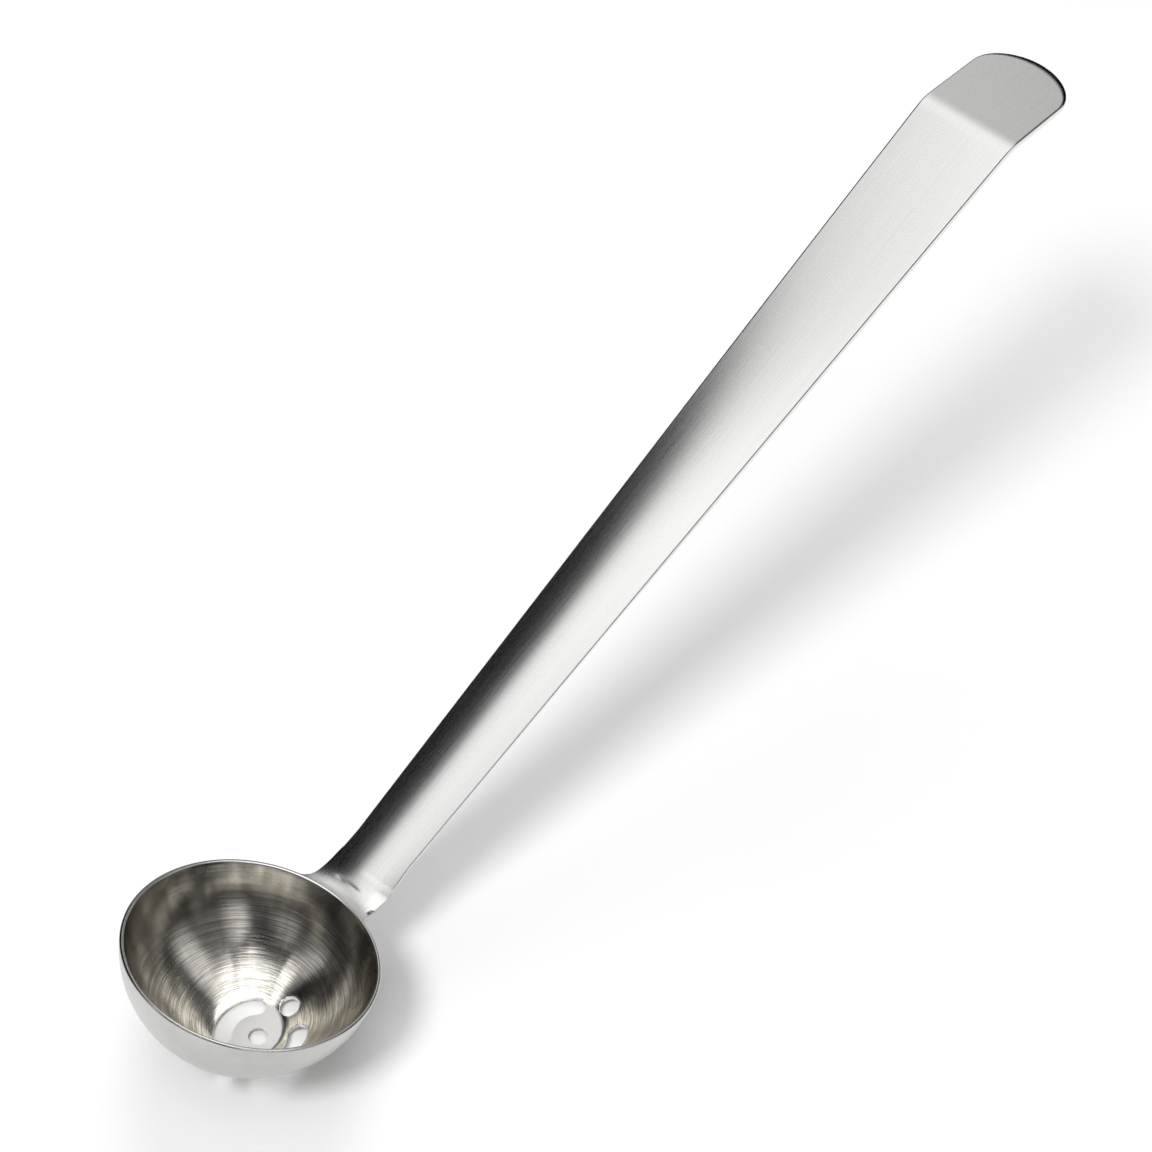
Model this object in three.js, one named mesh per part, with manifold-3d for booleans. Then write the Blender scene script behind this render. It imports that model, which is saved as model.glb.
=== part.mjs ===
import * as THREE from 'three';
import { ParametricGeometry } from 'three/addons/geometries/ParametricGeometry.js';
import { mergeVertices } from 'three/addons/utils/BufferGeometryUtils.js';
import Module from 'manifold-3d';

// Olive spoon: a deep steel cup with drain holes, a long strip handle and the weld between them.
// Millimetres. +Z is up, the cup stands on the flat of its base, and the handle runs along +X.
// The origin is on the underside of the base, in the plane of the handle.

const wasm = await Module();
wasm.setup();

// Cup
const sheet = 0.7;
const rimInnerRadius = 19.4;
const rimHeight = 18.8;
const rimForward = 1.8;
const rimLean = THREE.MathUtils.degToRad(15);
const wallDepth = 12;
const wallTaper = 0.12;
const wallCurl = 0.0084;
const wallCurlPower = 2.5;
const wallSweep = 1.42;
const flatSweep = 0.39;
const flatRadius = 5.0;
const flatSideways = -1.2;
const bowlFacets = 88;

// Drain holes in the base
const patternSideways = -3.25;
const roundHoleRadius = 1.55;
const roundHolePitch = 6.9;
const leftSlotRadius = 5.5;
const rightSlotRadius = 6.1;
const slotWidth = 3.1;
const slotHalfSpan = THREE.MathUtils.degToRad(42);
const holeCutDepth = 16;
const roundHoleFacets = 40;
const slotFacets = 24;

// Handle
const handleRise = THREE.MathUtils.degToRad(27);
const handleLength = 160.5;
const handleThickness = 1.4;
const neckHalfWidth = 5.4;
const creaseHalfWidth = 9.0;
const tipHalfWidth = 8.9;
const tipLength = 21.4;
const tipRounding = 7.8;
const tipBend = THREE.MathUtils.degToRad(26);
const bendRadius = 12;
const neckCrown = 1.1;
const crownLength = 140;
const crownPower = 1.5;
const handleAboveRim = 0.25;
const handleRootReach = 0.9;
const handleRunIn = 3;
const stationSpacing = 12;
const bendStations = 6;
const tipStations = 10;
const rootCutWidth = 40;
const rootCutFacets = 160;

// Weld
const gap = 0.3;
const weldThickness = 1.3;
const weldDepth = 2.6;
const weldOuterDepth = 1.5;
const weldRise = 0.9;
const weldTopDrop = 0.1;
const weldHalfWidth = 7.4;
const weldNeckHalfWidth = 5.9;
const weldWingStart = 1.4;
const weldWingEnd = 0.6;
const weldFacets = 240;

const rimOuterRadius = rimInnerRadius + sheet;
const weldInnerRadius = rimOuterRadius + gap;
const weldOuterRadius = weldInnerRadius + weldThickness;
const handleStartRadius = weldOuterRadius + gap;

const rimCentre = new THREE.Vector3(rimForward, 0, rimHeight);
const rimAxis = new THREE.Vector3(Math.sin(rimLean), 0, Math.cos(rimLean));
const rimAhead = new THREE.Vector3(Math.cos(rimLean), 0, -Math.sin(rimLean));
const sideways = new THREE.Vector3(0, 1, 0);
const flatCentre = new THREE.Vector3(0, flatSideways, sheet);

// Places a shape that was made round the Z axis onto the leaning axis of the rim.
const ontoRim = new THREE.Matrix4().makeBasis(rimAhead, sideways, rimAxis).setPosition(rimCentre);

// Joins a geometry's seams, drops empty triangles and turns it to face out.
function solidFrom(geometry) {
  const bare = geometry.clone();
  bare.deleteAttribute('normal');
  bare.deleteAttribute('uv');
  const merged = mergeVertices(bare, 1e-5);
  const source = merged.index.array;
  const place = merged.attributes.position;
  const a = new THREE.Vector3();
  const b = new THREE.Vector3();
  const c = new THREE.Vector3();
  const kept = [];
  let volume = 0;
  for (let i = 0; i < source.length; i += 3) {
    const [p, q, r] = [source[i], source[i + 1], source[i + 2]];
    if (p === q || q === r || r === p) continue;
    kept.push(p, q, r);
    a.fromBufferAttribute(place, p);
    b.fromBufferAttribute(place, q);
    c.fromBufferAttribute(place, r);
    volume += a.dot(b.cross(c));
  }
  if (volume < 0) kept.reverse();
  return new wasm.Manifold(new wasm.Mesh({
    numProp: 3,
    vertProperties: new Float32Array(place.array),
    triVerts: new Uint32Array(kept),
  }));
}

function meshFrom(solid, name, colour, roughness) {
  const data = solid.getMesh();
  const geometry = new THREE.BufferGeometry();
  geometry.setAttribute('position', new THREE.BufferAttribute(new Float32Array(data.vertProperties), 3));
  geometry.setIndex(new THREE.BufferAttribute(new Uint32Array(data.triVerts), 1));
  geometry.computeVertexNormals();
  const material = new THREE.MeshStandardMaterial({ color: colour, roughness, metalness: 1 });
  material.name = name;
  const mesh = new THREE.Mesh(geometry, material);
  mesh.name = name;
  return mesh;
}

// The inner face is a stack of round rings, each with a centre, a lean and a radius.
// Run 0 to 1 goes down the wall, 1 to 2 round the curve below it and 2 to 3 in across the flat.
function ringAt(run) {
  const depth = wallDepth * Math.min(run, 1);
  const wall = {
    centre: rimCentre.clone().addScaledVector(rimAxis, -depth),
    lean: rimLean,
    radius: rimInnerRadius - wallTaper * depth - wallCurl * Math.pow(depth, wallCurlPower),
  };
  if (run <= 1) return wall;
  if (run >= 2) return { centre: flatCentre.clone(), lean: 0, radius: flatRadius * (3 - run) };
  const s = run - 1;
  const fromWall = 2 * s ** 3 - 3 * s ** 2 + 1;
  const alongWall = s ** 3 - 2 * s ** 2 + s;
  const alongFlat = s ** 3 - s ** 2;
  const narrowing = -wallTaper - wallCurl * wallCurlPower * Math.pow(wallDepth, wallCurlPower - 1);
  const span = Math.hypot(wall.centre.distanceTo(flatCentre), wall.radius - flatRadius);
  const leave = alongWall * wallSweep * span / Math.hypot(1, narrowing);
  const arrive = alongFlat * flatSweep * span;
  return {
    centre: wall.centre.multiplyScalar(fromWall)
      .addScaledVector(rimAxis, -leave)
      .addScaledVector(flatCentre, 1 - fromWall),
    lean: rimLean * fromWall,
    radius: wall.radius * fromWall + narrowing * leave + flatRadius * (1 - fromWall) - arrive,
  };
}

function insidePoint(turn, run) {
  const { centre, lean, radius } = ringAt(run);
  const ahead = new THREE.Vector3(Math.cos(lean), 0, -Math.sin(lean));
  return centre
    .addScaledVector(ahead, radius * Math.cos(turn))
    .addScaledVector(sideways, radius * Math.sin(turn));
}

function outsidePoint(turn, run) {
  const here = insidePoint(turn, run);
  if (run >= 2) return here.setZ(0);
  const step = 0.002;
  const along = insidePoint(turn + step, run).sub(insidePoint(turn - step, run));
  const down = insidePoint(turn, Math.min(run + step, 2)).sub(insidePoint(turn, Math.max(run - step, 0)));
  return here.addScaledVector(along.cross(down).normalize(), -sheet);
}

function bowlShell() {
  const wallSteps = 12;
  const curveSteps = 9;
  const runs = [];
  for (let i = 0; i <= wallSteps; i += 1) runs.push(i / wallSteps);
  for (let i = 1; i <= curveSteps; i += 1) runs.push(1 + i / curveSteps);
  runs.push(3);
  const loop = [];
  for (let i = runs.length - 1; i >= 0; i -= 1) loop.push([insidePoint, runs[i]]);
  for (let i = 0; i < runs.length; i += 1) loop.push([outsidePoint, runs[i]]);
  const place = (u, v, target) => {
    const [face, run] = loop[Math.round(THREE.MathUtils.clamp(v, 0, 1) * (loop.length - 1))];
    target.copy(face((u % 1) * Math.PI * 2, run));
  };
  return new ParametricGeometry(place, bowlFacets, loop.length - 1);
}

function roundHole(x) {
  const cutter = new THREE.CylinderGeometry(roundHoleRadius, roundHoleRadius, holeCutDepth, roundHoleFacets);
  cutter.rotateX(Math.PI / 2);
  cutter.translate(x, patternSideways, 0);
  return solidFrom(cutter);
}

function arcSlot(middle, slotRadius) {
  const from = middle - slotHalfSpan;
  const to = middle + slotHalfSpan;
  const half = slotWidth / 2;
  const [startX, startY] = [slotRadius * Math.cos(from), slotRadius * Math.sin(from)];
  const [endX, endY] = [slotRadius * Math.cos(to), slotRadius * Math.sin(to)];
  const shape = new THREE.Shape();
  shape.absarc(0, 0, slotRadius + half, from, to, false);
  shape.absarc(endX, endY, half, to, to + Math.PI, false);
  shape.absarc(0, 0, slotRadius - half, to, from, true);
  shape.absarc(startX, startY, half, from + Math.PI, from + Math.PI * 2, false);
  const settings = { depth: holeCutDepth, bevelEnabled: false, curveSegments: slotFacets };
  const cutter = new THREE.ExtrudeGeometry(shape, settings);
  cutter.translate(0, patternSideways, -holeCutDepth / 2);
  return solidFrom(cutter);
}

let bowl = solidFrom(bowlShell());
for (const x of [-roundHolePitch, 0, roundHolePitch]) bowl = bowl.subtract(roundHole(x));
bowl = bowl.subtract(arcSlot(Math.PI / 2, leftSlotRadius));
bowl = bowl.subtract(arcSlot(-Math.PI / 2, rightSlotRadius));

// Handle: stations along a straight run, a bend and a straight tip with a rounded end.
const bendLength = bendRadius * tipBend;
const straight = handleLength - bendLength / 2;
const handleEnd = handleLength + tipLength;

// Where the upper face of the handle starts, on the rim's leaning axes.
const handleStart = rimCentre.clone()
  .addScaledVector(rimAhead, rimOuterRadius + handleRootReach)
  .addScaledVector(rimAxis, handleAboveRim);

// Middle of the upper face in the X-Z plane, and the angle it climbs at.
function handleLine(s) {
  const bent = THREE.MathUtils.clamp(s - straight, 0, bendLength);
  const first = Math.min(s, straight);
  const last = Math.max(0, s - straight - bendLength);
  const climb = handleRise - bent / bendRadius;
  const bendAlong = bendRadius * (Math.sin(handleRise) - Math.sin(climb));
  const bendUp = bendRadius * (Math.cos(climb) - Math.cos(handleRise));
  const x = first * Math.cos(handleRise) + bendAlong + last * Math.cos(climb);
  const z = first * Math.sin(handleRise) + bendUp + last * Math.sin(climb);
  return { x: handleStart.x + x, z: handleStart.z + z, climb };
}

function handleHalfWidth(s) {
  const { mapLinear } = THREE.MathUtils;
  if (s <= handleLength) return mapLinear(s, 0, handleLength, neckHalfWidth, creaseHalfWidth);
  const tip = mapLinear(s, handleLength, handleEnd, creaseHalfWidth, tipHalfWidth);
  const into = Math.max(0, s - (handleEnd - tipRounding)) / tipRounding;
  return tip * Math.sqrt(Math.max(0, 1 - into * into));
}

// Round-edged strip section: sideways and height of each point, seen along the handle.
function sectionPoints(halfWidth, crown) {
  const round = Math.min(handleThickness / 2, halfWidth);
  const flat = halfWidth - round;
  const flatSteps = 8;
  const roundSteps = 6;
  const points = [];
  for (const side of [1, -1]) {
    for (let i = 0; i < flatSteps; i += 1) {
      const y = side * flat * (1 - (2 * i) / flatSteps);
      const lift = crown * (1 - (y / halfWidth) ** 2);
      points.push([y, side * handleThickness / 2 + lift]);
    }
    for (let i = 0; i < roundSteps; i += 1) {
      const angle = (Math.PI * i) / roundSteps;
      const y = -side * (flat + round * Math.sin(angle));
      const lift = crown * (1 - (y / halfWidth) ** 2);
      points.push([y, side * (handleThickness / 2) * Math.cos(angle) + lift]);
    }
  }
  return points;
}

function handleStrip() {
  const stations = [-handleRunIn, -handleRunIn];
  for (let s = 0; s < straight - 1; s += stationSpacing) stations.push(s);
  for (let i = 0; i <= bendStations; i += 1) stations.push(straight + (bendLength * i) / bendStations);
  stations.push(handleEnd - tipRounding);
  for (let i = 1; i <= tipStations; i += 1) {
    const into = Math.sin((Math.PI / 2) * (i / tipStations)) * 0.998;
    stations.push(handleEnd - tipRounding + tipRounding * into);
  }
  stations.push(handleEnd);
  const ring = sectionPoints(neckHalfWidth, 0).length;
  const place = (u, v, target) => {
    const index = Math.round(THREE.MathUtils.clamp(v, 0, 1) * (stations.length - 1));
    const s = stations[index];
    const { x, z, climb } = handleLine(s);
    const crown = neckCrown * Math.max(0, 1 - s / crownLength) ** crownPower;
    const closed = index === 0 || index === stations.length - 1;
    const point = Math.round(THREE.MathUtils.clamp(u, 0, 1) * ring) % ring;
    const [y, height] = closed ? [0, 0] : sectionPoints(handleHalfWidth(s), crown)[point];
    const level = height - handleThickness / 2 - (closed ? 0 : crown);
    target.set(x - level * Math.sin(climb), y, z + level * Math.cos(climb));
  };
  return new ParametricGeometry(place, ring, stations.length - 1);
}

const clearOfWeld = new THREE.CylinderGeometry(
  handleStartRadius, handleStartRadius, rootCutWidth, rootCutFacets,
);
clearOfWeld.rotateX(Math.PI / 2);
clearOfWeld.applyMatrix4(ontoRim);
const handle = solidFrom(handleStrip()).subtract(solidFrom(clearOfWeld));

// Weld: a ring of weld section round the rim, kept only where the handle meets it.
const weldProfile = [
  [weldInnerRadius, -weldDepth],
  [weldInnerRadius, -weldTopDrop],
  [weldOuterRadius, weldRise],
  [weldOuterRadius, -weldOuterDepth],
  [weldInnerRadius, -weldDepth],
].map(([r, z]) => new THREE.Vector2(r, z));
const weldRing = new THREE.LatheGeometry(weldProfile, weldFacets);
weldRing.rotateX(Math.PI / 2);
const weldPlan = new THREE.Shape();
const planInner = weldInnerRadius - 3 * weldThickness;
const planOuter = weldOuterRadius + gap;
const wingStart = weldInnerRadius - weldWingStart;
const wingEnd = weldInnerRadius - weldWingEnd;
weldPlan.moveTo(planInner, weldHalfWidth);
weldPlan.lineTo(planInner, -weldHalfWidth);
weldPlan.lineTo(wingStart, -weldHalfWidth);
weldPlan.quadraticCurveTo(wingEnd, -weldNeckHalfWidth, planOuter, -weldNeckHalfWidth);
weldPlan.lineTo(planOuter, weldNeckHalfWidth);
weldPlan.quadraticCurveTo(wingEnd, weldNeckHalfWidth, wingStart, weldHalfWidth);
weldPlan.closePath();
const planHeight = 4 * weldDepth;
const weldSettings = { depth: planHeight, bevelEnabled: false, curveSegments: 8 };
const weldBlock = new THREE.ExtrudeGeometry(weldPlan, weldSettings);
weldBlock.translate(0, 0, -planHeight / 2);
for (const geometry of [weldRing, weldBlock]) geometry.applyMatrix4(ontoRim);
const weld = solidFrom(weldRing).intersect(solidFrom(weldBlock));

const spoon = new THREE.Group();
spoon.name = 'olive_spoon';
spoon.add(meshFrom(bowl, 'bowl', 0xb4b2ad, 0.32));
spoon.add(meshFrom(handle, 'handle', 0xc4c4c0, 0.36));
spoon.add(meshFrom(weld, 'weld', 0xb8b6b0, 0.42));

export default spoon;
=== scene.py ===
import math
from collections import namedtuple

import bpy
from mathutils import Matrix, Vector


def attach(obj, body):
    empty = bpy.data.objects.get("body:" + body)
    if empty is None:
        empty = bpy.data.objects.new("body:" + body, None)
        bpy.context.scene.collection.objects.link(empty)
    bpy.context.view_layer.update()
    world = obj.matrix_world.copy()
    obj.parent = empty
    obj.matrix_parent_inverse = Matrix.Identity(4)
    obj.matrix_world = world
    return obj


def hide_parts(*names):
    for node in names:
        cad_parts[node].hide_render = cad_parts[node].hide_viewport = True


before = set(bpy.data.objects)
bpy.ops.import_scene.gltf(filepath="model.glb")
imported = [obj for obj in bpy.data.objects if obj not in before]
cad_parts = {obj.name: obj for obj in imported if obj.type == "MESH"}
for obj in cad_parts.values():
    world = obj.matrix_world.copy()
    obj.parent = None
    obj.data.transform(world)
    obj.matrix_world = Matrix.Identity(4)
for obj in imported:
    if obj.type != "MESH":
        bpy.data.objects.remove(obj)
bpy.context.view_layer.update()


# Camera: above the near left of the cup, looking down along the handle as the photograph does.
# The place and the two directions come from the rim's outline, the drain holes and the handle.
MM = 0.001
CAMERA_PLACE = Vector((-178.606, -181.723, 401.001)) * MM
LOOK_AHEAD = Vector((0.53499, 0.38675, -0.75114)).normalized()
LOOK_RIGHT = Vector((0.65735, -0.74906, 0.08250))
SENSOR_WIDTH = 36.0
LENS = 93.75


def place_camera():
    data = bpy.data.cameras.new("camera")
    data.sensor_width = SENSOR_WIDTH
    data.lens = LENS
    data.clip_start = 0.01
    data.clip_end = 20.0
    camera = bpy.data.objects.new("camera", data)
    bpy.context.scene.collection.objects.link(camera)
    right = (LOOK_RIGHT - LOOK_AHEAD * LOOK_RIGHT.dot(LOOK_AHEAD)).normalized()
    above = right.cross(LOOK_AHEAD)
    turned = Matrix((right, above, -LOOK_AHEAD)).transposed().to_4x4()
    camera.matrix_world = Matrix.Translation(CAMERA_PLACE) @ turned
    bpy.context.scene.camera = camera


place_camera()


# Bowl: a deep cup spun from 0.7 mm stainless sheet, with a square-cut lip and a small flat base.
# Two curved slots and three round holes are punched straight down through the base, and the
# inside keeps the fine rings that the turning tool and the polishing left.
SHEET = 0.7 * MM
RIM_RADIUS = 19.4 * MM
RIM_CENTRE = Vector((1.8, 0.0, 18.8)) * MM
RIM_LEAN = math.radians(15)
RIM_AXIS = Vector((math.sin(RIM_LEAN), 0.0, math.cos(RIM_LEAN)))
LIP_ROUNDING = 0.27 * MM
HOLE_ROUNDING = 0.12 * MM
CORNER_ANGLE = math.radians(50)
BOWL_SMOOTHING = math.radians(38)
BOWL_TURNS = 144

# The curve of the wall, from the rim down to the flat, is worked out in millimetres.
WALL_DEPTH = 12.0
WALL_TAPER = 0.12
WALL_CURL = 0.0084
CURL_POWER = 2.5
WALL_SWEEP = 1.42
FLAT_SWEEP = 0.39
FLAT_RADIUS = 5.0
FLAT_CENTRE = Vector((0.0, -1.2, SHEET / MM))
WALL_RINGS = 16
BASE_RINGS = 16

PATTERN_CENTRE = Vector((0.0, -3.25, 0.0)) * MM
ROUND_HOLE_RADIUS = 1.55 * MM
ROUND_HOLE_PITCH = 6.9 * MM
SLOT_WIDTH = 3.1 * MM
LEFT_SLOT_RADIUS = 5.5 * MM
RIGHT_SLOT_RADIUS = 6.1 * MM
SLOT_HALF_SPAN = math.radians(42)
PUNCH_HEIGHT = 16.0 * MM

RING_DARK = (0.46, 0.44, 0.40)
RING_LIGHT = (0.92, 0.885, 0.81)
OUTSIDE_DARK = (0.52, 0.517, 0.505)
OUTSIDE_LIGHT = (0.59, 0.587, 0.575)
# The flat inside the cup has painted light: its colour is much lighter than the steel round it, standing in
# for the brighter light it reflects.
PAINTED_LIGHT_BASE_DARK = (0.80, 0.785, 0.75)
PAINTED_LIGHT_BASE_LIGHT = (0.93, 0.92, 0.885)
# Polished lip and edges: the lower roughness is real, the lighter colour is a painted highlight.
POLISHED_PAINTED_HIGHLIGHT = (0.82, 0.815, 0.80)


def start_clean():
    if bpy.context.mode != "OBJECT":
        bpy.ops.object.mode_set(mode="OBJECT")
    bpy.ops.object.select_all(action="DESELECT")


def edit(piece, mode="VERT"):
    start_clean()
    bpy.context.view_layer.objects.active = piece
    piece.select_set(True)
    bpy.ops.object.mode_set(mode="EDIT")
    bpy.ops.mesh.select_mode(type=mode)


def pick(piece, wanted, kind="vertices"):
    """Selects the vertices, edges or faces of a piece that a test on them accepts."""
    bpy.ops.object.mode_set(mode="EDIT")
    bpy.ops.mesh.select_all(action="DESELECT")
    bpy.ops.object.mode_set(mode="OBJECT")
    for item in getattr(piece.data, kind):
        item.select = bool(wanted(item))
    bpy.ops.object.mode_set(mode="EDIT")


def finish_with(piece, kind, **settings):
    """Adds a modifier of this kind and applies it."""
    start_clean()
    bpy.context.view_layer.objects.active = piece
    piece.select_set(True)
    modifier = piece.modifiers.new(kind.lower(), kind)
    for name, value in settings.items():
        setattr(modifier, name, value)
    bpy.ops.object.modifier_apply(modifier=modifier.name)


def wall_radius(depth):
    return RIM_RADIUS / MM - WALL_TAPER * depth - WALL_CURL * depth**CURL_POWER


def bowl_rings():
    """Centre, lean and radius of each ring of the inside, from the lip down to the flat."""
    rings = []
    rim = RIM_CENTRE / MM
    for step in range(WALL_RINGS + 1):
        depth = WALL_DEPTH * step / WALL_RINGS
        rings.append((rim - RIM_AXIS * depth, RIM_LEAN, wall_radius(depth)))
    last, _, wide = rings[-1]
    narrowing = -WALL_TAPER - WALL_CURL * CURL_POWER * WALL_DEPTH ** (CURL_POWER - 1)
    span = math.hypot((last - FLAT_CENTRE).length, wide - FLAT_RADIUS)
    for step in range(1, BASE_RINGS + 1):
        s = step / BASE_RINGS
        stay = 2 * s**3 - 3 * s**2 + 1
        leave = (s**3 - 2 * s**2 + s) * WALL_SWEEP * span / math.hypot(1, narrowing)
        arrive = (s**3 - s**2) * FLAT_SWEEP * span
        centre = last * stay - RIM_AXIS * leave + FLAT_CENTRE * (1 - stay)
        radius = wide * stay + narrowing * leave + FLAT_RADIUS * (1 - stay) - arrive
        rings.append((centre, RIM_LEAN * stay, radius))
    return [(centre * MM, lean, radius * MM) for centre, lean, radius in rings]


def spin_bowl():
    start_clean()
    bpy.ops.mesh.primitive_circle_add(
        vertices=BOWL_TURNS, radius=RIM_RADIUS, fill_type="NOTHING",
        location=RIM_CENTRE, rotation=(0, RIM_LEAN, 0),
    )
    bowl = bpy.context.object
    bowl.name = "bowl_cup"
    bpy.ops.object.transform_apply(location=True, rotation=True, scale=True)
    edit(bowl, "EDGE")
    bpy.ops.mesh.select_all(action="SELECT")
    rings = bowl_rings()
    for (last_centre, last_lean, last_radius), (centre, lean, radius) in zip(rings, rings[1:]):
        bpy.ops.mesh.extrude_region_move(TRANSFORM_OT_translate={"value": centre - last_centre})
        k = radius / last_radius
        bpy.ops.transform.resize(value=(k, k, k), center_override=centre)
        if lean != last_lean:
            bpy.ops.transform.rotate(value=last_lean - lean, orient_axis="Y", center_override=centre)
    bpy.ops.mesh.edge_face_add()
    bpy.ops.mesh.select_all(action="SELECT")
    bpy.ops.mesh.normals_make_consistent(inside=True)
    bpy.ops.object.mode_set(mode="OBJECT")
    return bowl


def soften_lip(piece):
    """Rounds both edges of the lip, as the polishing wheel does."""
    co = piece.data.vertices

    def rim_edge(edge):
        """Runs round the lip: both of its ends lie equally far from the rim's centre."""
        a, b = (co[i].co - RIM_CENTRE for i in edge.vertices)
        high = min(a.dot(RIM_AXIS), b.dot(RIM_AXIS)) > -0.3 * MM
        return high and abs(a.length - b.length) < 0.02 * MM

    edit(piece, "EDGE")
    pick(piece, rim_edge, "edges")
    bpy.ops.mesh.bevel(offset=LIP_ROUNDING, segments=4, profile=0.5)
    bpy.ops.object.mode_set(mode="OBJECT")


def round_punch(along):
    start_clean()
    bpy.ops.mesh.primitive_cylinder_add(
        vertices=48, radius=ROUND_HOLE_RADIUS, depth=PUNCH_HEIGHT,
        location=PATTERN_CENTRE + Vector((along, 0, 0)),
    )
    punch = bpy.context.object
    bpy.ops.object.transform_apply(location=True, rotation=True, scale=True)
    return punch


def slot_punch(middle, radius):
    """A curved bar with round ends: an edge swung along the slot, with half of it swung round each end."""
    first, last = middle - SLOT_HALF_SPAN, middle + SLOT_HALF_SPAN
    base = PATTERN_CENTRE - Vector((0, 0, PUNCH_HEIGHT / 2))

    def outwards(angle):
        return Vector((math.cos(angle), math.sin(angle), 0))

    def end_at(angle):
        return base + outwards(angle) * radius

    back = Vector((math.sin(first), -math.cos(first), 0)) * SLOT_WIDTH / 2
    start_clean()
    bpy.ops.mesh.primitive_plane_add(size=SLOT_WIDTH, location=end_at(first) + back, rotation=(0, 0, first))
    punch = bpy.context.object
    bpy.ops.object.transform_apply(location=True, rotation=True, scale=True)
    edit(punch)
    pick(punch, lambda v: (v.co - end_at(first)).dot(back) > (SLOT_WIDTH / 4) ** 2)
    bpy.ops.mesh.delete(type="VERT")
    bpy.ops.mesh.select_all(action="SELECT")
    bpy.ops.mesh.subdivide(number_cuts=1)
    bpy.ops.mesh.select_all(action="SELECT")
    bpy.ops.mesh.spin(steps=28, angle=first - last, center=base, axis=(0, 0, 1))
    for angle, turn in ((first, math.pi), (last, -math.pi)):
        outer = end_at(angle) + outwards(angle) * SLOT_WIDTH / 4

        def outer_half(edge):
            a, b = (punch.data.vertices[i].co for i in edge.vertices)
            return ((a + b) / 2 - outer).length < 0.05 * MM

        edit(punch, "EDGE")
        pick(punch, outer_half, "edges")
        bpy.ops.mesh.spin(steps=14, angle=turn, center=end_at(angle), axis=(0, 0, 1))
    bpy.ops.mesh.select_all(action="SELECT")
    bpy.ops.mesh.remove_doubles(threshold=0.004 * MM)
    bpy.ops.mesh.select_all(action="SELECT")
    bpy.ops.mesh.extrude_region_move(TRANSFORM_OT_translate={"value": (0, 0, PUNCH_HEIGHT)})
    bpy.ops.mesh.select_all(action="SELECT")
    bpy.ops.mesh.normals_make_consistent(inside=False)
    bpy.ops.object.mode_set(mode="OBJECT")
    return punch


def punch_out(piece, punch):
    finish_with(piece, "BOOLEAN", operation="DIFFERENCE", solver="EXACT", object=punch)
    bpy.data.objects.remove(punch, do_unlink=True)


bowl = spin_bowl()
finish_with(bowl, "SOLIDIFY", thickness=SHEET, offset=-1.0, use_even_offset=True)
soften_lip(bowl)
for along in (-ROUND_HOLE_PITCH, 0.0, ROUND_HOLE_PITCH):
    punch_out(bowl, round_punch(along))
punch_out(bowl, slot_punch(math.pi / 2, LEFT_SLOT_RADIUS))
punch_out(bowl, slot_punch(-math.pi / 2, RIGHT_SLOT_RADIUS))
finish_with(bowl, "BEVEL", width=HOLE_ROUNDING, segments=2, limit_method="ANGLE", angle_limit=CORNER_ANGLE)
bpy.ops.object.shade_smooth_by_angle(angle=BOWL_SMOOTHING)
finish_with(bowl, "WEIGHTED_NORMAL", weight=100, keep_sharp=True)


class Wire:
    """One socket of a material, so that a pattern is written as plain arithmetic."""

    def __init__(self, tree, socket=None):
        self.tree = tree
        self.socket = socket

    def node(self, kind, settings=None, sockets=None, output=0):
        made = self.tree.nodes.new(kind)
        for name, value in (settings or {}).items():
            if name == "stops":
                ramp = made.color_ramp
                while len(ramp.elements) < len(value):
                    ramp.elements.new(0.5)
                for element, (place, shade) in zip(ramp.elements, value):
                    colour = shade if isinstance(shade, tuple) else (shade, shade, shade)
                    element.position = place
                    element.color = (*colour, 1.0)
            else:
                setattr(made, name, value)
        for name, value in (sockets or {}).items():
            if isinstance(value, Wire):
                self.tree.links.new(value.socket, made.inputs[name])
            else:
                made.inputs[name].default_value = value
        return Wire(self.tree, made.outputs[output])

    def feed(self, shader, name):
        self.tree.links.new(self.socket, shader.inputs[name])

    def maths(self, operation, *values):
        return self.node("ShaderNodeMath", {"operation": operation}, dict(enumerate(values)))

    def __add__(self, other):
        return self.maths("ADD", self, other)

    def __mul__(self, other):
        return self.maths("MULTIPLY", self, other)

    def __sub__(self, other):
        return self.maths("SUBTRACT", self, other)

    def __rsub__(self, other):
        return self.maths("SUBTRACT", other, self)

    def __truediv__(self, other):
        return self.maths("DIVIDE", self, other)

    def __rtruediv__(self, other):
        return self.maths("DIVIDE", other, self)

    __radd__ = __add__
    __rmul__ = __mul__


def parts_of(start, place):
    return [start.node("ShaderNodeSeparateXYZ", sockets={0: place}, output=axis) for axis in "XYZ"]


def point(start, x, y, z):
    return start.node("ShaderNodeCombineXYZ", sockets={"X": x, "Y": y, "Z": z})


def noise(start, place, scale=1.0, detail=2.0, roughness=0.5):
    sockets = {"Vector": place, "Scale": scale, "Detail": detail, "Roughness": roughness}
    return start.node("ShaderNodeTexNoise", {"noise_dimensions": "3D"}, sockets)


def spread(start, value, low, high, first=0.0, last=1.0, shape="SMOOTHSTEP"):
    """Goes from `first` to `last` while a value goes from `low` to `high`, and stays there beyond."""
    sockets = {0: value, 1: low, 2: high, 3: first, 4: last}
    return start.node("ShaderNodeMapRange", {"interpolation_type": shape}, sockets)


def new_metal(name):
    material = bpy.data.materials.new(name)
    material.use_nodes = True
    shader = material.node_tree.nodes["Principled BSDF"]
    shader.inputs["Metallic"].default_value = 1.0
    return material, Wire(material.node_tree), shader


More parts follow.
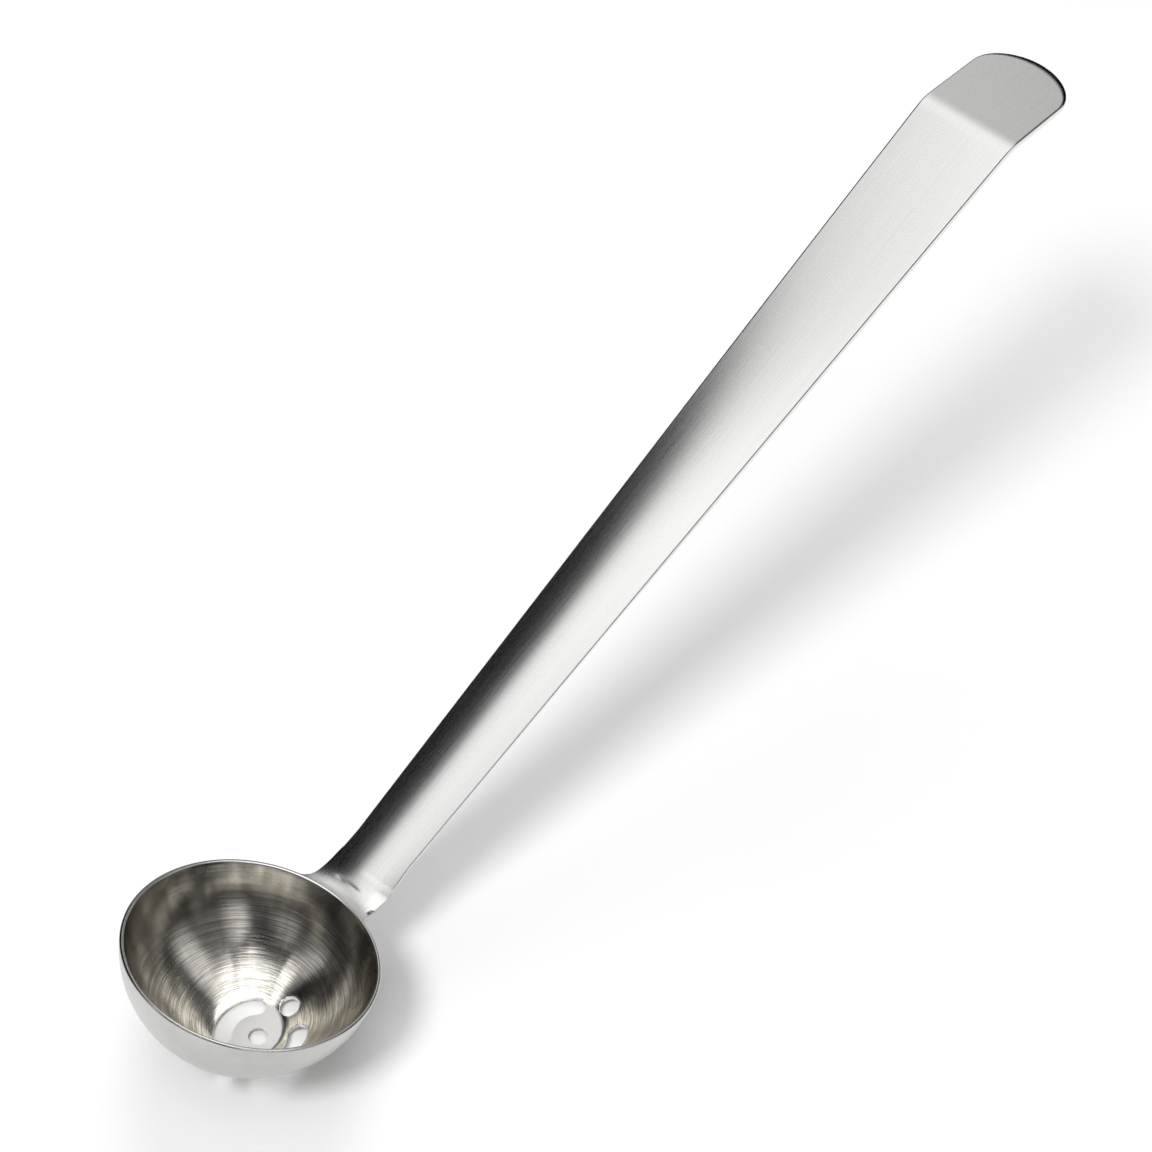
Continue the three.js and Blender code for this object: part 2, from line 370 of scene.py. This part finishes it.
def turned_steel():
    """The inside: thin broken rings run round the cup, closest and sharpest low on the wall."""
    material, start, shader = new_metal("turned_steel")
    shader.inputs["Anisotropic"].default_value = 0.8
    shader.inputs["Anisotropic Rotation"].default_value = 0.25
    place = start.node("ShaderNodeTexCoord", output="Object")
    x, y, z = parts_of(start, place)
    # The rings' middle moves from the flat's to the rim's, and the rings tilt with it.
    lean = spread(start, z, SHEET, 9 * MM)
    x = x - lean * RIM_CENTRE.x
    y = y - (1 - lean) * (FLAT_CENTRE.y * MM)
    out = start.maths("SQRT", x * x + y * y)
    down = out + z + lean * x * math.tan(RIM_LEAN)
    off_centre = start.maths("MAXIMUM", out, 0.3 * MM)
    round_x = x / off_centre
    round_y = y / off_centre

    def rings(around, across, detail, seed):
        where = point(start, round_x * around, round_y * around, down * across + seed)
        return noise(start, where, detail=detail, roughness=0.6)

    fine = rings(around=1.8, across=4600.0, detail=2.0, seed=3.0)
    broad = rings(around=1.0, across=1400.0, detail=2.0, seed=11.0)
    scratch = spread(start, rings(around=2.2, across=5600.0, detail=1.0, seed=21.0), 0.60, 0.68)
    # Painted reflections: random light and dark streaks run down the wall, strongest where the rings fade,
    # standing in for the streaky reflections inside the cup.
    painted_reflection_streak = noise(start, point(start, round_x * 7.0, round_y * 7.0, z * 60.0))
    cloud = noise(start, place, scale=330.0, detail=3.0)
    ringed = spread(start, z, 8 * MM, 13 * MM, first=1.0, last=0.30)
    lines = (fine * 0.6 + broad * 0.4 - 0.5) * ringed + scratch * ringed * 0.20
    mix = lines + (painted_reflection_streak - 0.5) * 0.62 * (1.35 - ringed) + (cloud - 0.5) * 0.22 + 0.48
    stops = [(0.38, RING_DARK), (0.60, RING_LIGHT)]
    shade = start.node("ShaderNodeValToRGB", {"stops": stops}, {"Fac": mix})
    # Painted light and shade: the colour is lighter low in the cup and darker towards the lip, standing in
    # for the brighter reflections low down and the darker ones near the lip.
    painted_light_by_height = spread(start, z, 1 * MM, 9 * MM, first=1.18, last=0.77)
    shade = start.node("ShaderNodeVectorMath", {"operation": "SCALE"}, {0: shade, "Scale": painted_light_by_height})
    shade.feed(shader, "Base Color")
    spread(start, fine, 0.3, 0.7, first=0.20, last=0.12, shape="LINEAR").feed(shader, "Roughness")
    height = (fine + broad * 1.5) * ringed
    bump = {"Strength": 0.35, "Distance": 0.03 * MM, "Height": height}
    start.node("ShaderNodeBump", sockets=bump).feed(shader, "Normal")
    return material


def satin_steel(name, dark, light):
    """An even satin with a faint cloud."""
    material, start, shader = new_metal(name)
    cloud = noise(start, start.node("ShaderNodeTexCoord", output="Object"), scale=180.0, detail=3.0)
    shade = start.node("ShaderNodeValToRGB", {"stops": [(0.30, dark), (0.70, light)]}, {"Fac": cloud})
    shade.feed(shader, "Base Color")
    spread(start, cloud, 0.3, 0.7, first=0.28, last=0.34, shape="LINEAR").feed(shader, "Roughness")
    return material


def polished_painted_highlight_steel():
    """The lip and the handle's edges: polished smoother, and coloured brighter than the steel as a painted
    highlight along them.
    """
    material, _, shader = new_metal("polished_painted_highlight_steel")
    shader.inputs["Base Color"].default_value = (*POLISHED_PAINTED_HIGHLIGHT, 1.0)
    shader.inputs["Roughness"].default_value = 0.2
    return material


def cover(piece, slot, wanted):
    """Gives the faces that a test accepts the material in this slot."""
    edit(piece, "FACE")
    pick(piece, wanted, "polygons")
    piece.active_material_index = slot
    bpy.ops.object.material_slot_assign()
    bpy.ops.object.mode_set(mode="OBJECT")


def is_outside(face):
    inner_point = RIM_CENTRE - RIM_AXIS * 4 * MM
    return (face.center - inner_point).dot(face.normal) > 0


def is_lip(face):
    return (face.center - RIM_CENTRE).dot(RIM_AXIS) > -0.2 * MM


def is_base_inside(face):
    """The flat inside the cup, whose top face lies one sheet above the table."""
    return face.normal.z > 0.6 and 0.3 * MM < face.center.z < 0.78 * MM


bowl.data.materials.clear()
bowl.data.materials.append(turned_steel())
bowl.data.materials.append(satin_steel("satin_steel", OUTSIDE_DARK, OUTSIDE_LIGHT))
bowl.data.materials.append(polished_painted_highlight_steel())
# The flat inside the cup gets the lighter satin, its painted light.
bowl.data.materials.append(satin_steel("painted_light_base_steel", PAINTED_LIGHT_BASE_DARK, PAINTED_LIGHT_BASE_LIGHT))
cover(bowl, 1, is_outside)
cover(bowl, 2, is_lip)
cover(bowl, 3, is_base_inside)
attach(bowl, "root")
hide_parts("bowl")


# Handle: one strip of 1.4 mm stainless, brushed lengthwise. It flares at its root, widens from the
# cup to the bend and bows slightly near the cup. Its edges are rounded, and its flat round-ended
# tip is bent down level, with a wide rounding at the far end.
HANDLE_RISE = math.radians(27)
HANDLE_LENGTH = 160.5 * MM
HANDLE_THICK = 1.4 * MM
HANDLE_EDGE = 0.34 * MM
ROOT_CUT = 3.5 * MM
ROOT_HALF = 5.9 * MM
FLARE_LENGTH = 9.0 * MM
NECK_HALF = 5.4 * MM
CREASE_HALF = 9.0 * MM
BEND_RADIUS = 9.0 * MM
TIP_BEND = math.radians(26)
TIP_HALF = 8.9 * MM
TIP_LENGTH = 21.4 * MM
TIP_ROUNDING = 7.8 * MM
TIP_EDGE = 2.0 * MM
TIP_SQUASH = 0.6
HANDLE_END = HANDLE_LENGTH + TIP_LENGTH

NECK_CROWN = 1.1 * MM
CROWN_LENGTH = 140.0 * MM
CROWN_ROOM = 1.3
SWELL = 0.55 * MM
SWELL_AT = 58.0 * MM
SWELL_REACH = 36.0 * MM

STRAIGHT_CUTS = 26
BEND_CUTS = 12
LENGTHWISE_CUTS = 4
LENGTHWISE_SPACING = 0.18
NEARBY = 0.005 * MM
TINY = 0.001 * MM
HANDLE_SMOOTHING = math.radians(40)

ROOT_OUT = 21.0 * MM
ROOT_UP = 0.25 * MM
RIM_AHEAD = Vector((math.cos(RIM_LEAN), 0.0, -math.sin(RIM_LEAN)))
HANDLE_START = RIM_CENTRE + RIM_AHEAD * ROOT_OUT + RIM_AXIS * ROOT_UP

TIP_POLISH_FROM = 170.0 * MM
BRUSHED_DARK = (0.60, 0.60, 0.592)
BRUSHED_LIGHT = (0.66, 0.66, 0.652)


def plain_half(along):
    """Half the strip's width here, leaving out the flare at its root."""
    return NECK_HALF + (CREASE_HALF - NECK_HALF) * min(max(along / HANDLE_LENGTH, 0), 1)


def round_share(along):
    """From 0 where the tip's round end starts to 1 at its far end."""
    return max(0.0, 1 - (HANDLE_END - along) / TIP_ROUNDING)


def crown_fade(along):
    return max(0.0, 1 - along / CROWN_LENGTH) ** 1.5


def swell_fade(along):
    return math.exp(-(((along - SWELL_AT) / SWELL_REACH) ** 2))


def displace(piece, axis, strength, group):
    """Moves each vertex along an axis, by its share in a vertex group that is dropped afterwards."""
    finish_with(piece, "DISPLACE", direction=axis, mid_level=0.0, strength=strength, vertex_group=group)
    piece.vertex_groups.remove(piece.vertex_groups[group])


def crown_strip(piece, share):
    """Bows a strip that lies along X: lower at both sides, and a little higher along its middle."""
    crown = piece.vertex_groups.new(name="crown")
    swell = piece.vertex_groups.new(name="swell")
    for v in piece.data.vertices:
        across = (v.co.y / plain_half(v.co.x)) ** 2
        low = share(v) * across * crown_fade(v.co.x) / CROWN_ROOM
        crown.add([v.index], min(1.0, low), "REPLACE")
        swell.add([v.index], share(v) * swell_fade(v.co.x) * max(0.0, 1 - across), "REPLACE")
    displace(piece, "Z", -NECK_CROWN * CROWN_ROOM, "crown")
    displace(piece, "Z", SWELL, "swell")


def lean_sides(piece):
    """Draws the underside in, so that both side faces stay square to the bowed sheet."""
    for side in (1, -1):
        group = piece.vertex_groups.new(name="lean_left" if side > 0 else "lean_right")
        for v in piece.data.vertices:
            if v.co.y * side > 0:
                slope = 2 * (NECK_CROWN * crown_fade(v.co.x) + SWELL * swell_fade(v.co.x))
                slope *= abs(v.co.y) / plain_half(v.co.x) ** 2
                group.add([v.index], -v.co.z / HANDLE_THICK * slope, "REPLACE")
        displace(piece, "Y", -side * HANDLE_THICK, group.name)


def flat_strip():
    """The strip before its bend, along X with its top at z = 0: half a circle drawn out to the root."""
    round_from = HANDLE_END - TIP_ROUNDING
    start_clean()
    bpy.ops.mesh.primitive_circle_add(
        vertices=96, radius=TIP_HALF, fill_type="NOTHING", location=(round_from, 0, 0),
    )
    strip = bpy.context.object
    strip.name = "handle_strip"
    bpy.ops.object.transform_apply(location=True, rotation=True, scale=True)
    edit(strip)
    bpy.ops.mesh.select_all(action="SELECT")
    bpy.ops.transform.resize(value=(TIP_ROUNDING / TIP_HALF, 1, 1), center_override=(round_from, 0, 0))
    pick(strip, lambda v: v.co.x < round_from - NEARBY)
    bpy.ops.mesh.delete(type="VERT")
    pick(strip, lambda v: abs(v.co.y) > TIP_HALF - NEARBY)
    stations = (
        (round_from, TIP_HALF),
        (HANDLE_LENGTH, CREASE_HALF),
        (FLARE_LENGTH, plain_half(FLARE_LENGTH)),
        (ROOT_CUT, ROOT_HALF),
    )
    for (before, half_before), (after, half_after) in zip(stations, stations[1:]):
        bpy.ops.mesh.extrude_region_move(TRANSFORM_OT_translate={"value": (after - before, 0, 0)})
        bpy.ops.transform.resize(value=(1, half_after / half_before, 1), center_override=(0, 0, 0))
    bpy.ops.mesh.select_all(action="SELECT")
    bpy.ops.mesh.edge_face_add()
    bpy.ops.mesh.extrude_region_move(TRANSFORM_OT_translate={"value": (0, 0, -HANDLE_THICK)})
    bpy.ops.mesh.select_all(action="SELECT")
    bpy.ops.mesh.normals_make_consistent(inside=False)
    bpy.ops.object.mode_set(mode="OBJECT")
    return strip


def round_edges(strip, width, segments, rounding):
    """Rounds each edge by its own share of a width, except the edge at the root."""
    if "bevel_weight_edge" not in strip.data.attributes:
        strip.data.attributes.new("bevel_weight_edge", "FLOAT", "EDGE")
    weights = strip.data.attributes["bevel_weight_edge"].data
    for edge in strip.data.edges:
        a, b = (strip.data.vertices[i].co for i in edge.vertices)
        at_root = max(a.x, b.x) < ROOT_CUT + NEARBY
        weights[edge.index].value = 0.0 if at_root else rounding(a, b) / width
    finish_with(
        strip, "BEVEL", width=width, segments=segments, limit_method="WEIGHT", use_clamp_overlap=False,
    )


def top_rounding(a, b):
    if min(a.z, b.z) < -TINY:
        return 0.0
    return HANDLE_EDGE + (TIP_EDGE - HANDLE_EDGE) * round_share((a.x + b.x) / 2) ** 2


def bottom_rounding(a, b):
    return HANDLE_EDGE if max(a.z, b.z) < TINY - HANDLE_THICK else 0.0


def flatten_tip_rounding(strip):
    """Makes the wide rounding at the far end shallow enough for the strip's thickness."""
    squash = strip.vertex_groups.new(name="squash")
    for v in strip.data.vertices:
        if abs(v.co.z + HANDLE_THICK) > TINY:
            squash.add([v.index], min(1.0, -v.co.z / TIP_EDGE * round_share(v.co.x)), "REPLACE")
    displace(strip, "Z", TIP_SQUASH * TIP_EDGE, "squash")


def rolled_handle():
    handle = flat_strip()
    round_edges(handle, TIP_EDGE, 8, top_rounding)
    flatten_tip_rounding(handle)
    round_edges(handle, HANDLE_EDGE, 5, bottom_rounding)
    edit(handle)
    bend = BEND_RADIUS * TIP_BEND
    bend_start = HANDLE_LENGTH - bend / 2
    cuts = [bend_start * i / STRAIGHT_CUTS for i in range(1, STRAIGHT_CUTS)]
    cuts += [bend_start + bend * i / BEND_CUTS for i in range(BEND_CUTS + 1)]
    for cut in cuts:
        bpy.ops.mesh.select_all(action="SELECT")
        bpy.ops.mesh.bisect(plane_co=(cut, 0, 0), plane_no=(1, 0, 0))
    for k in range(-LENGTHWISE_CUTS, LENGTHWISE_CUTS + 1):
        share = k * LENGTHWISE_SPACING
        widening = share * (CREASE_HALF - NECK_HALF)
        bpy.ops.mesh.select_mode(type="FACE")
        pick(handle, lambda f: f.center.x < bend_start - NEARBY and abs(f.normal.z) > 0.9, "polygons")
        bpy.ops.mesh.bisect(
            plane_co=(0, share * NECK_HALF, 0), plane_no=Vector((-widening, HANDLE_LENGTH, 0)).normalized(),
        )
    bpy.ops.object.mode_set(mode="OBJECT")
    lean_sides(handle)
    crown_strip(handle, lambda v: 1.0)
    edit(handle)
    for i in range(BEND_CUTS, -1, -1):
        at = bend_start + bend * i / BEND_CUTS
        pick(handle, lambda v: v.co.x > at + NEARBY)
        turn = TIP_BEND / BEND_CUTS * (0.5 if i in (0, BEND_CUTS) else 1.0)
        bpy.ops.transform.rotate(value=-turn, orient_axis="Y", center_override=(at, 0, 0))
    bpy.ops.mesh.select_all(action="SELECT")
    bpy.ops.transform.rotate(value=HANDLE_RISE, orient_axis="Y", center_override=(0, 0, 0))
    bpy.ops.transform.translate(value=HANDLE_START)
    bpy.ops.object.mode_set(mode="OBJECT")
    bpy.ops.object.shade_smooth_by_angle(angle=HANDLE_SMOOTHING)
    finish_with(handle, "WEIGHTED_NORMAL", weight=100, keep_sharp=True)
    return handle


def brushed_steel(name):
    """Fine and broad streaks along the handle."""
    material, start, shader = new_metal(name)
    place = start.node("ShaderNodeTexCoord", output="Object")
    along_handle = {"Vector": place, "Location": HANDLE_START, "Rotation": (0.0, -HANDLE_RISE, 0.0)}
    local = start.node("ShaderNodeMapping", {"vector_type": "TEXTURE"}, along_handle)
    x, y, z = parts_of(start, local)

    def streaks(along, across, seed):
        return noise(start, point(start, x * along, y * across + seed, z * 60.0), roughness=0.65)

    fine = streaks(along=60.0, across=7000.0, seed=3.0)
    broad = streaks(along=12.0, across=1500.0, seed=11.0)
    stops = [(0.30, BRUSHED_DARK), (0.70, BRUSHED_LIGHT)]
    shade = start.node("ShaderNodeValToRGB", {"stops": stops}, {"Fac": fine * 0.6 + broad * 0.4})
    shade.feed(shader, "Base Color")
    spread(start, fine, 0.3, 0.7, first=0.24, last=0.30, shape="LINEAR").feed(shader, "Roughness")
    bump = {"Strength": 0.10, "Distance": 0.02 * MM, "Height": fine + broad * 0.5}
    start.node("ShaderNodeBump", sockets=bump).feed(shader, "Normal")
    return material


def is_side(face):
    return abs(face.normal.y) > 0.75


def is_tip_rounding(face):
    return face.center.x > TIP_POLISH_FROM and face.normal.x > 0.05 and face.normal.z < 0.985


handle = rolled_handle()
handle.data.materials.clear()
handle.data.materials.append(brushed_steel("brushed_steel"))
handle.data.materials.append(polished_painted_highlight_steel())
# The handle's sides and the tip's far rounding get the polished steel with its painted highlight.
cover(handle, 1, lambda f: is_side(f) or is_tip_rounding(f))
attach(handle, "root")
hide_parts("handle")


# Weld: the handle's root is welded to the outside of the lip and ground into one smooth saddle,
# wider at the cup than at the handle, with hollow flanks on both sides. It goes on as a thin skin
# over the root. The grinding left a short groove across it, a hollow and a pit at its right corner.
WELD_SKIN = 0.015 * MM
WELD_EDGE = 0.32 * MM
WELD_TURNS = 420
STEEP = RIM_LEAN + HANDLE_RISE

# The weld's rows are worked out in millimetres, this far apart. Each one says how far out from the
# rim's axis and up from the rim plane it is, how far it reaches left and right, and its shares of
# the rim's curve and of the handle's crown.
ROW_SPACING = 0.12
Row = namedtuple("Row", "out up left right bow crown")
WELD_STATIONS = (
    (19.75, -0.02, 7.60, 6.20, 1.00, 0.00),
    (20.20, 0.03, 6.95, 5.95, 0.97, 0.04),
    (20.70, 0.17, 6.45, 5.75, 0.87, 0.14),
    (21.20, 0.45, 6.12, 5.68, 0.70, 0.30),
    (21.80, 0.95, 5.98, 5.74, 0.48, 0.50),
    (22.50, 1.63, 5.95, 5.84, 0.22, 0.72),
)
SKIN_BOW = 0.02
SKIN_STATIONS = (
    # along the handle from its root, how far outside it, crown
    (3.1, 0.03, 0.93),
    (4.0, 0.03, 1.00),
    (5.6, -0.06, 1.00),
)
DENTS = (
    # along and across the handle from its root, reach both ways, depth
    (1.30, 2.0, 0.26, 1.0, 0.08),
    (1.40, 0.2, 0.24, 1.9, 0.05),
    (0.05, -5.6, 0.32, 0.30, 0.55),
    (2.1, -2.8, 0.6, 0.8, 0.04),
)


def root_half(along):
    """Half the handle's width near its root, where it flares towards the cup."""
    share = (along - ROOT_CUT) / (FLARE_LENGTH - ROOT_CUT)
    return ROOT_HALF + (plain_half(FLARE_LENGTH) - ROOT_HALF) * share


def on_curve(p0, p1, p2, p3, t):
    """A smooth curve's value at share t of the way from p1 to p2, with its neighbours p0 and p3."""
    bend = 2 * p0 - 5 * p1 + 4 * p2 - p3
    return p1 + 0.5 * t * (p2 - p0 + t * (bend + t * (3 * (p1 - p2) + p3 - p0)))


def weld_rows():
    """The stations, carried on as a thin skin over the handle's root, with smooth rows between."""
    knots = [Row(*station) for station in WELD_STATIONS]
    for along, skin, crown in SKIN_STATIONS:
        half = root_half(along * MM) / MM + skin
        out = ROOT_OUT / MM + along * math.cos(STEEP) - skin * math.sin(STEEP)
        up = ROOT_UP / MM + along * math.sin(STEEP) + skin * math.cos(STEEP)
        knots.append(Row(out, up, half, half, SKIN_BOW, crown))
    rows = []
    for i in range(len(knots) - 1):
        around = [knots[min(max(i + k, 0), len(knots) - 1)] for k in (-1, 0, 1, 2)]
        start, end = knots[i], knots[i + 1]
        steps = max(1, round(math.hypot(end.out - start.out, end.up - start.up) / ROW_SPACING))
        for step in range(steps):
            rows.append(Row(*(on_curve(*values, step / steps) for values in zip(*around))))
    rows.append(knots[-1])
    return rows


def dent_depth(point):
    depth = 0.0
    for along, across, reach_along, reach_across, deep in DENTS:
        far = ((point.x / MM - along) / reach_along) ** 2 + ((point.y / MM - across) / reach_across) ** 2
        depth += deep * math.exp(-far)
    return depth


def ground_weld():
    rows = weld_rows()
    first = rows[0]
    start_clean()
    bpy.ops.mesh.primitive_circle_add(
        vertices=WELD_TURNS, radius=first.out * MM, fill_type="NOTHING", location=(0, 0, first.up * MM),
    )
    weld = bpy.context.object
    weld.name = "weld_saddle"
    bpy.ops.object.transform_apply(location=True, rotation=True, scale=True)
    edit(weld)
    pick(weld, lambda v: v.co.x < 0 or v.co.y > first.left * MM or v.co.y < -first.right * MM)
    bpy.ops.mesh.delete(type="VERT")
    bpy.ops.mesh.select_all(action="SELECT")
    for before, after in zip(rows, rows[1:]):
        wider = (after.left + after.right) / (before.left + before.right)
        shift = after.left - wider * before.left
        move = Vector((after.out - before.out, shift, after.up - before.up)) * MM
        bpy.ops.mesh.extrude_region_move(TRANSFORM_OT_translate={"value": move})
        bpy.ops.transform.resize(
            value=(after.bow / before.bow, wider, 1), center_override=(after.out * MM, shift * MM, 0),
        )
    bpy.ops.object.mode_set(mode="OBJECT")
    crown_share = {}
    for v in weld.data.vertices:
        up = v.co.z / MM
        nearest = min(rows, key=lambda row: abs(row.up - up))
        crown_share[v.index] = max(0.0, min(1.0, nearest.crown))
    edit(weld)
    bpy.ops.mesh.select_all(action="SELECT")
    bpy.ops.transform.translate(value=(-ROOT_OUT, 0, -ROOT_UP))
    bpy.ops.transform.rotate(value=-STEEP, orient_axis="Y", center_override=(0, 0, 0))
    bpy.ops.object.mode_set(mode="OBJECT")
    dents = weld.vertex_groups.new(name="dents")
    for v in weld.data.vertices:
        dents.add([v.index], dent_depth(v.co), "REPLACE")
    crown_strip(weld, lambda v: crown_share[v.index])
    displace(weld, "Z", -1 * MM, "dents")
    edit(weld)
    bpy.ops.mesh.select_all(action="SELECT")
    bpy.ops.transform.rotate(value=HANDLE_RISE, orient_axis="Y", center_override=(0, 0, 0))
    bpy.ops.transform.translate(value=HANDLE_START)
    bpy.ops.mesh.normals_make_consistent(inside=False)
    bpy.ops.object.mode_set(mode="OBJECT")
    finish_with(weld, "SOLIDIFY", thickness=HANDLE_THICK + 2 * WELD_SKIN, offset=-1.0)
    finish_with(weld, "BEVEL", width=WELD_EDGE, segments=4, limit_method="ANGLE", angle_limit=CORNER_ANGLE)
    bpy.ops.object.shade_smooth_by_angle(angle=CORNER_ANGLE)
    return weld


weld = ground_weld()
weld.data.materials.clear()
weld.data.materials.append(brushed_steel("ground_steel"))
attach(weld, "root")
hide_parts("weld")


# Studio: white paper under three soft lamps that reflections don't show. Steel looks like what
# stands round it, so a glowing tent and some black cards and cloths surround the spoon, and only
# reflections see them.
PAPER = (0.95, 0.95, 0.95)
LIT_POINT = Vector((0.07, 0, 0.03))
LAMP_DISTANCE = 2.0
TENT_RADIUS = 3.0
HIGH_GLOW = 1.48
ZENITH_GLOW = 0.3
FILL_LIGHT = 0.36

# The tent's parts come in between these two heights, in degrees above the paper.
LOW_FULL = (10.0, 30.0)
HIGH_FULL = (51.5, 57.0)
ZENITH_FULL = (70.0, 82.0)
LOW_GLOW = (
    # degrees round from the handle's direction towards its left, and how bright the tent is there
    (-180.0, 0.45), (-162.0, 0.32), (-147.6, 0.10), (-133.2, 0.12), (-124.2, 0.72), (-113.4, 0.72),
    (-97.2, 0.18), (-72.0, 0.16), (-61.2, 0.75), (-50.4, 0.75), (-39.6, 0.06), (10.8, 0.12),
    (25.2, 0.88), (64.8, 0.88), (93.6, 0.20), (122.4, 0.50), (144.0, 0.50), (158.4, 0.10),
    (169.2, 0.12), (180.0, 0.45),
)


def lay_paper():
    start_clean()
    bpy.ops.mesh.primitive_plane_add(size=8.0, location=(0, 0, -0.2 * MM))
    floor = bpy.context.object
    floor.name = "floor"
    material = bpy.data.materials.new("paper")
    material.use_nodes = True
    shader = material.node_tree.nodes["Principled BSDF"]
    shader.inputs["Base Color"].default_value = (*PAPER, 1.0)
    shader.inputs["Roughness"].default_value = 0.9
    floor.data.materials.append(material)


def softbox(name, towards, size, power):
    """A round soft lamp in this direction from a point near the middle of the spoon."""
    data = bpy.data.lights.new(name, "AREA")
    data.shape = "DISK"
    data.size = size
    data.energy = power
    lamp = bpy.data.objects.new(name, data)
    bpy.context.scene.collection.objects.link(lamp)
    towards = Vector(towards).normalized()
    lamp.location = LIT_POINT + towards * LAMP_DISTANCE
    lamp.rotation_euler = towards.to_track_quat("Z", "Y").to_euler()
    lamp.visible_glossy = False


def reflected_only(thing, pattern=None):
    """Makes a thing set up round the spoon black, or gives it a pattern, and lets only reflections see it.
    """
    material = bpy.data.materials.new(thing.name)
    material.use_nodes = True
    shader = material.node_tree.nodes["Principled BSDF"]
    shader.inputs["Base Color"].default_value = (0, 0, 0, 1)
    shader.inputs["Specular IOR Level"].default_value = 0.0
    shader.inputs["Emission Strength"].default_value = 0.0
    if pattern is not None:
        pattern(Wire(material.node_tree), shader)
    thing.data.materials.append(material)
    thing.visible_camera = False
    thing.visible_diffuse = False
    thing.visible_shadow = False


def tent_glow(start, shader):
    """Bright overhead, and darker low down, where dark and light stretches take turns all round."""
    x, y, z = parts_of(start, start.node("ShaderNodeTexCoord", output="Object"))
    level = start.maths("SQRT", x * x + y * y)
    climb = start.maths("ARCTAN2", z, level) * (180 / math.pi)
    turn = start.maths("ARCTAN2", y, x) * (1 / (2 * math.pi)) + 0.5
    stops = [(degrees / 360 + 0.5, glow) for degrees, glow in LOW_GLOW]
    low = start.node("ShaderNodeValToRGB", {"stops": stops}, {"Fac": turn})

    def towards(east, north):
        """How far a direction points this way, from 0 to 1."""
        facing = (x * east + y * north) / level
        return start.maths("POWER", start.maths("MAXIMUM", facing, 0.0), 2.0)

    at_floor = 0.65 - towards(0.9, 0.43) * 0.62
    dim = spread(start, climb, *LOW_FULL, first=at_floor, last=1.0, shape="LINEAR")
    edge_lift = towards(-0.87, -0.5) * 0.5 + towards(0.0, -1.0) * 4.0
    high = spread(start, climb - edge_lift, *HIGH_FULL)
    zenith = spread(start, climb, *ZENITH_FULL)
    glow = low * dim * (1 - high) + high * HIGH_GLOW + zenith * ZENITH_GLOW
    glow.feed(shader, "Emission Color")
    shader.inputs["Emission Strength"].default_value = 1.0


def light_tent():
    start_clean()
    bpy.ops.mesh.primitive_uv_sphere_add(segments=96, ring_count=48, radius=TENT_RADIUS, location=(0, 0, 0))
    tent = bpy.context.object
    tent.name = "tent"
    edit(tent)
    pick(tent, lambda v: v.co.z < -1 * MM)
    bpy.ops.mesh.delete(type="VERT")
    bpy.ops.object.mode_set(mode="OBJECT")
    bpy.ops.object.shade_smooth()
    reflected_only(tent, tent_glow)


def thinned_edges(start, shader):
    """Lets a black card thin out at its top edge and at both ends."""
    x, _, z = parts_of(start, start.node("ShaderNodeTexCoord", output="Object"))
    top = spread(start, z, 0.37, 0.42, first=1.0, last=0.0)
    far_end = spread(start, x, 0.12, 0.28, first=1.0, last=0.0)
    near_end = spread(start, x, -0.16, -0.09)
    (top * far_end * near_end).feed(shader, "Alpha")


def black_plane(name, middle, size, turn=(0, 0, 0), pattern=None):
    start_clean()
    bpy.ops.mesh.primitive_plane_add(size=1.0, location=middle, rotation=turn)
    made = bpy.context.object
    made.name = name
    made.scale = (*size, 1)
    bpy.ops.object.transform_apply(location=True, rotation=True, scale=True)
    reflected_only(made, pattern)


def card_along(name, near, far, aside, high, pattern=None):
    """A card that stands along the handle, this far to its left."""
    middle = ((near + far) / 2, aside, high / 2)
    black_plane(name, middle, (far - near, high), (math.pi / 2, 0, 0), pattern)


def card_across(name, right, left, ahead, high):
    """A card that stands across the handle, this far ahead of the cup."""
    middle = (ahead, (right + left) / 2, high / 2)
    black_plane(name, middle, (left - right, high), (math.pi / 2, 0, math.pi / 2))


def cloth(name, near, far, right, left, up=0.2 * MM):
    """A cloth on the paper, or held level at this height."""
    middle = ((near + far) / 2, (right + left) / 2, up)
    black_plane(name, middle, (far - near, left - right))


lay_paper()
softbox("key", (-0.56, 0.03, 0.83), size=0.6, power=19.5)
softbox("back", (0.50, 0.45, 0.74), size=1.3, power=12.0)
softbox("top", (-0.30, -0.10, 0.95), size=1.8, power=8.0)
light_tent()
card_along("black_flag", near=-0.6, far=0.35, aside=0.17, high=0.44, pattern=thinned_edges)
cloth("black_cloth", near=0.15, far=0.265, right=0.058, left=0.17)
cloth("far_cloth", near=0.26, far=1.6, right=0.03, left=1.0)
card_across("far_card", right=0.0, left=1.4, ahead=1.5, high=0.36)
card_across("tip_card", right=-0.06, left=0.25, ahead=0.30, high=0.158)
card_along("tip_side_card", near=0.14, far=0.30, aside=0.13, high=0.17)
cloth("cup_cloth", near=-0.034, far=-0.010, right=-0.027, left=0.014, up=0.055)
cloth("cup_cloth_near", near=-0.010, far=0.006, right=-0.027, left=-0.015, up=0.055)

world = bpy.data.worlds.new("studio")
bpy.context.scene.world = world
world.use_nodes = True
sky = Wire(world.node_tree)


def ray(kind):
    return sky.node("ShaderNodeLightPath", output=kind)


background = world.node_tree.nodes["Background"]
background.inputs["Color"].default_value = (1, 1, 1, 1)
seen = ray("Is Camera Ray") + ray("Is Glossy Ray") + ray("Is Transmission Ray")
spread(sky, seen, 0.0, 1.0, first=FILL_LIGHT, last=1.0, shape="LINEAR").feed(background, "Strength")

bpy.context.scene.view_settings.view_transform = "Standard"
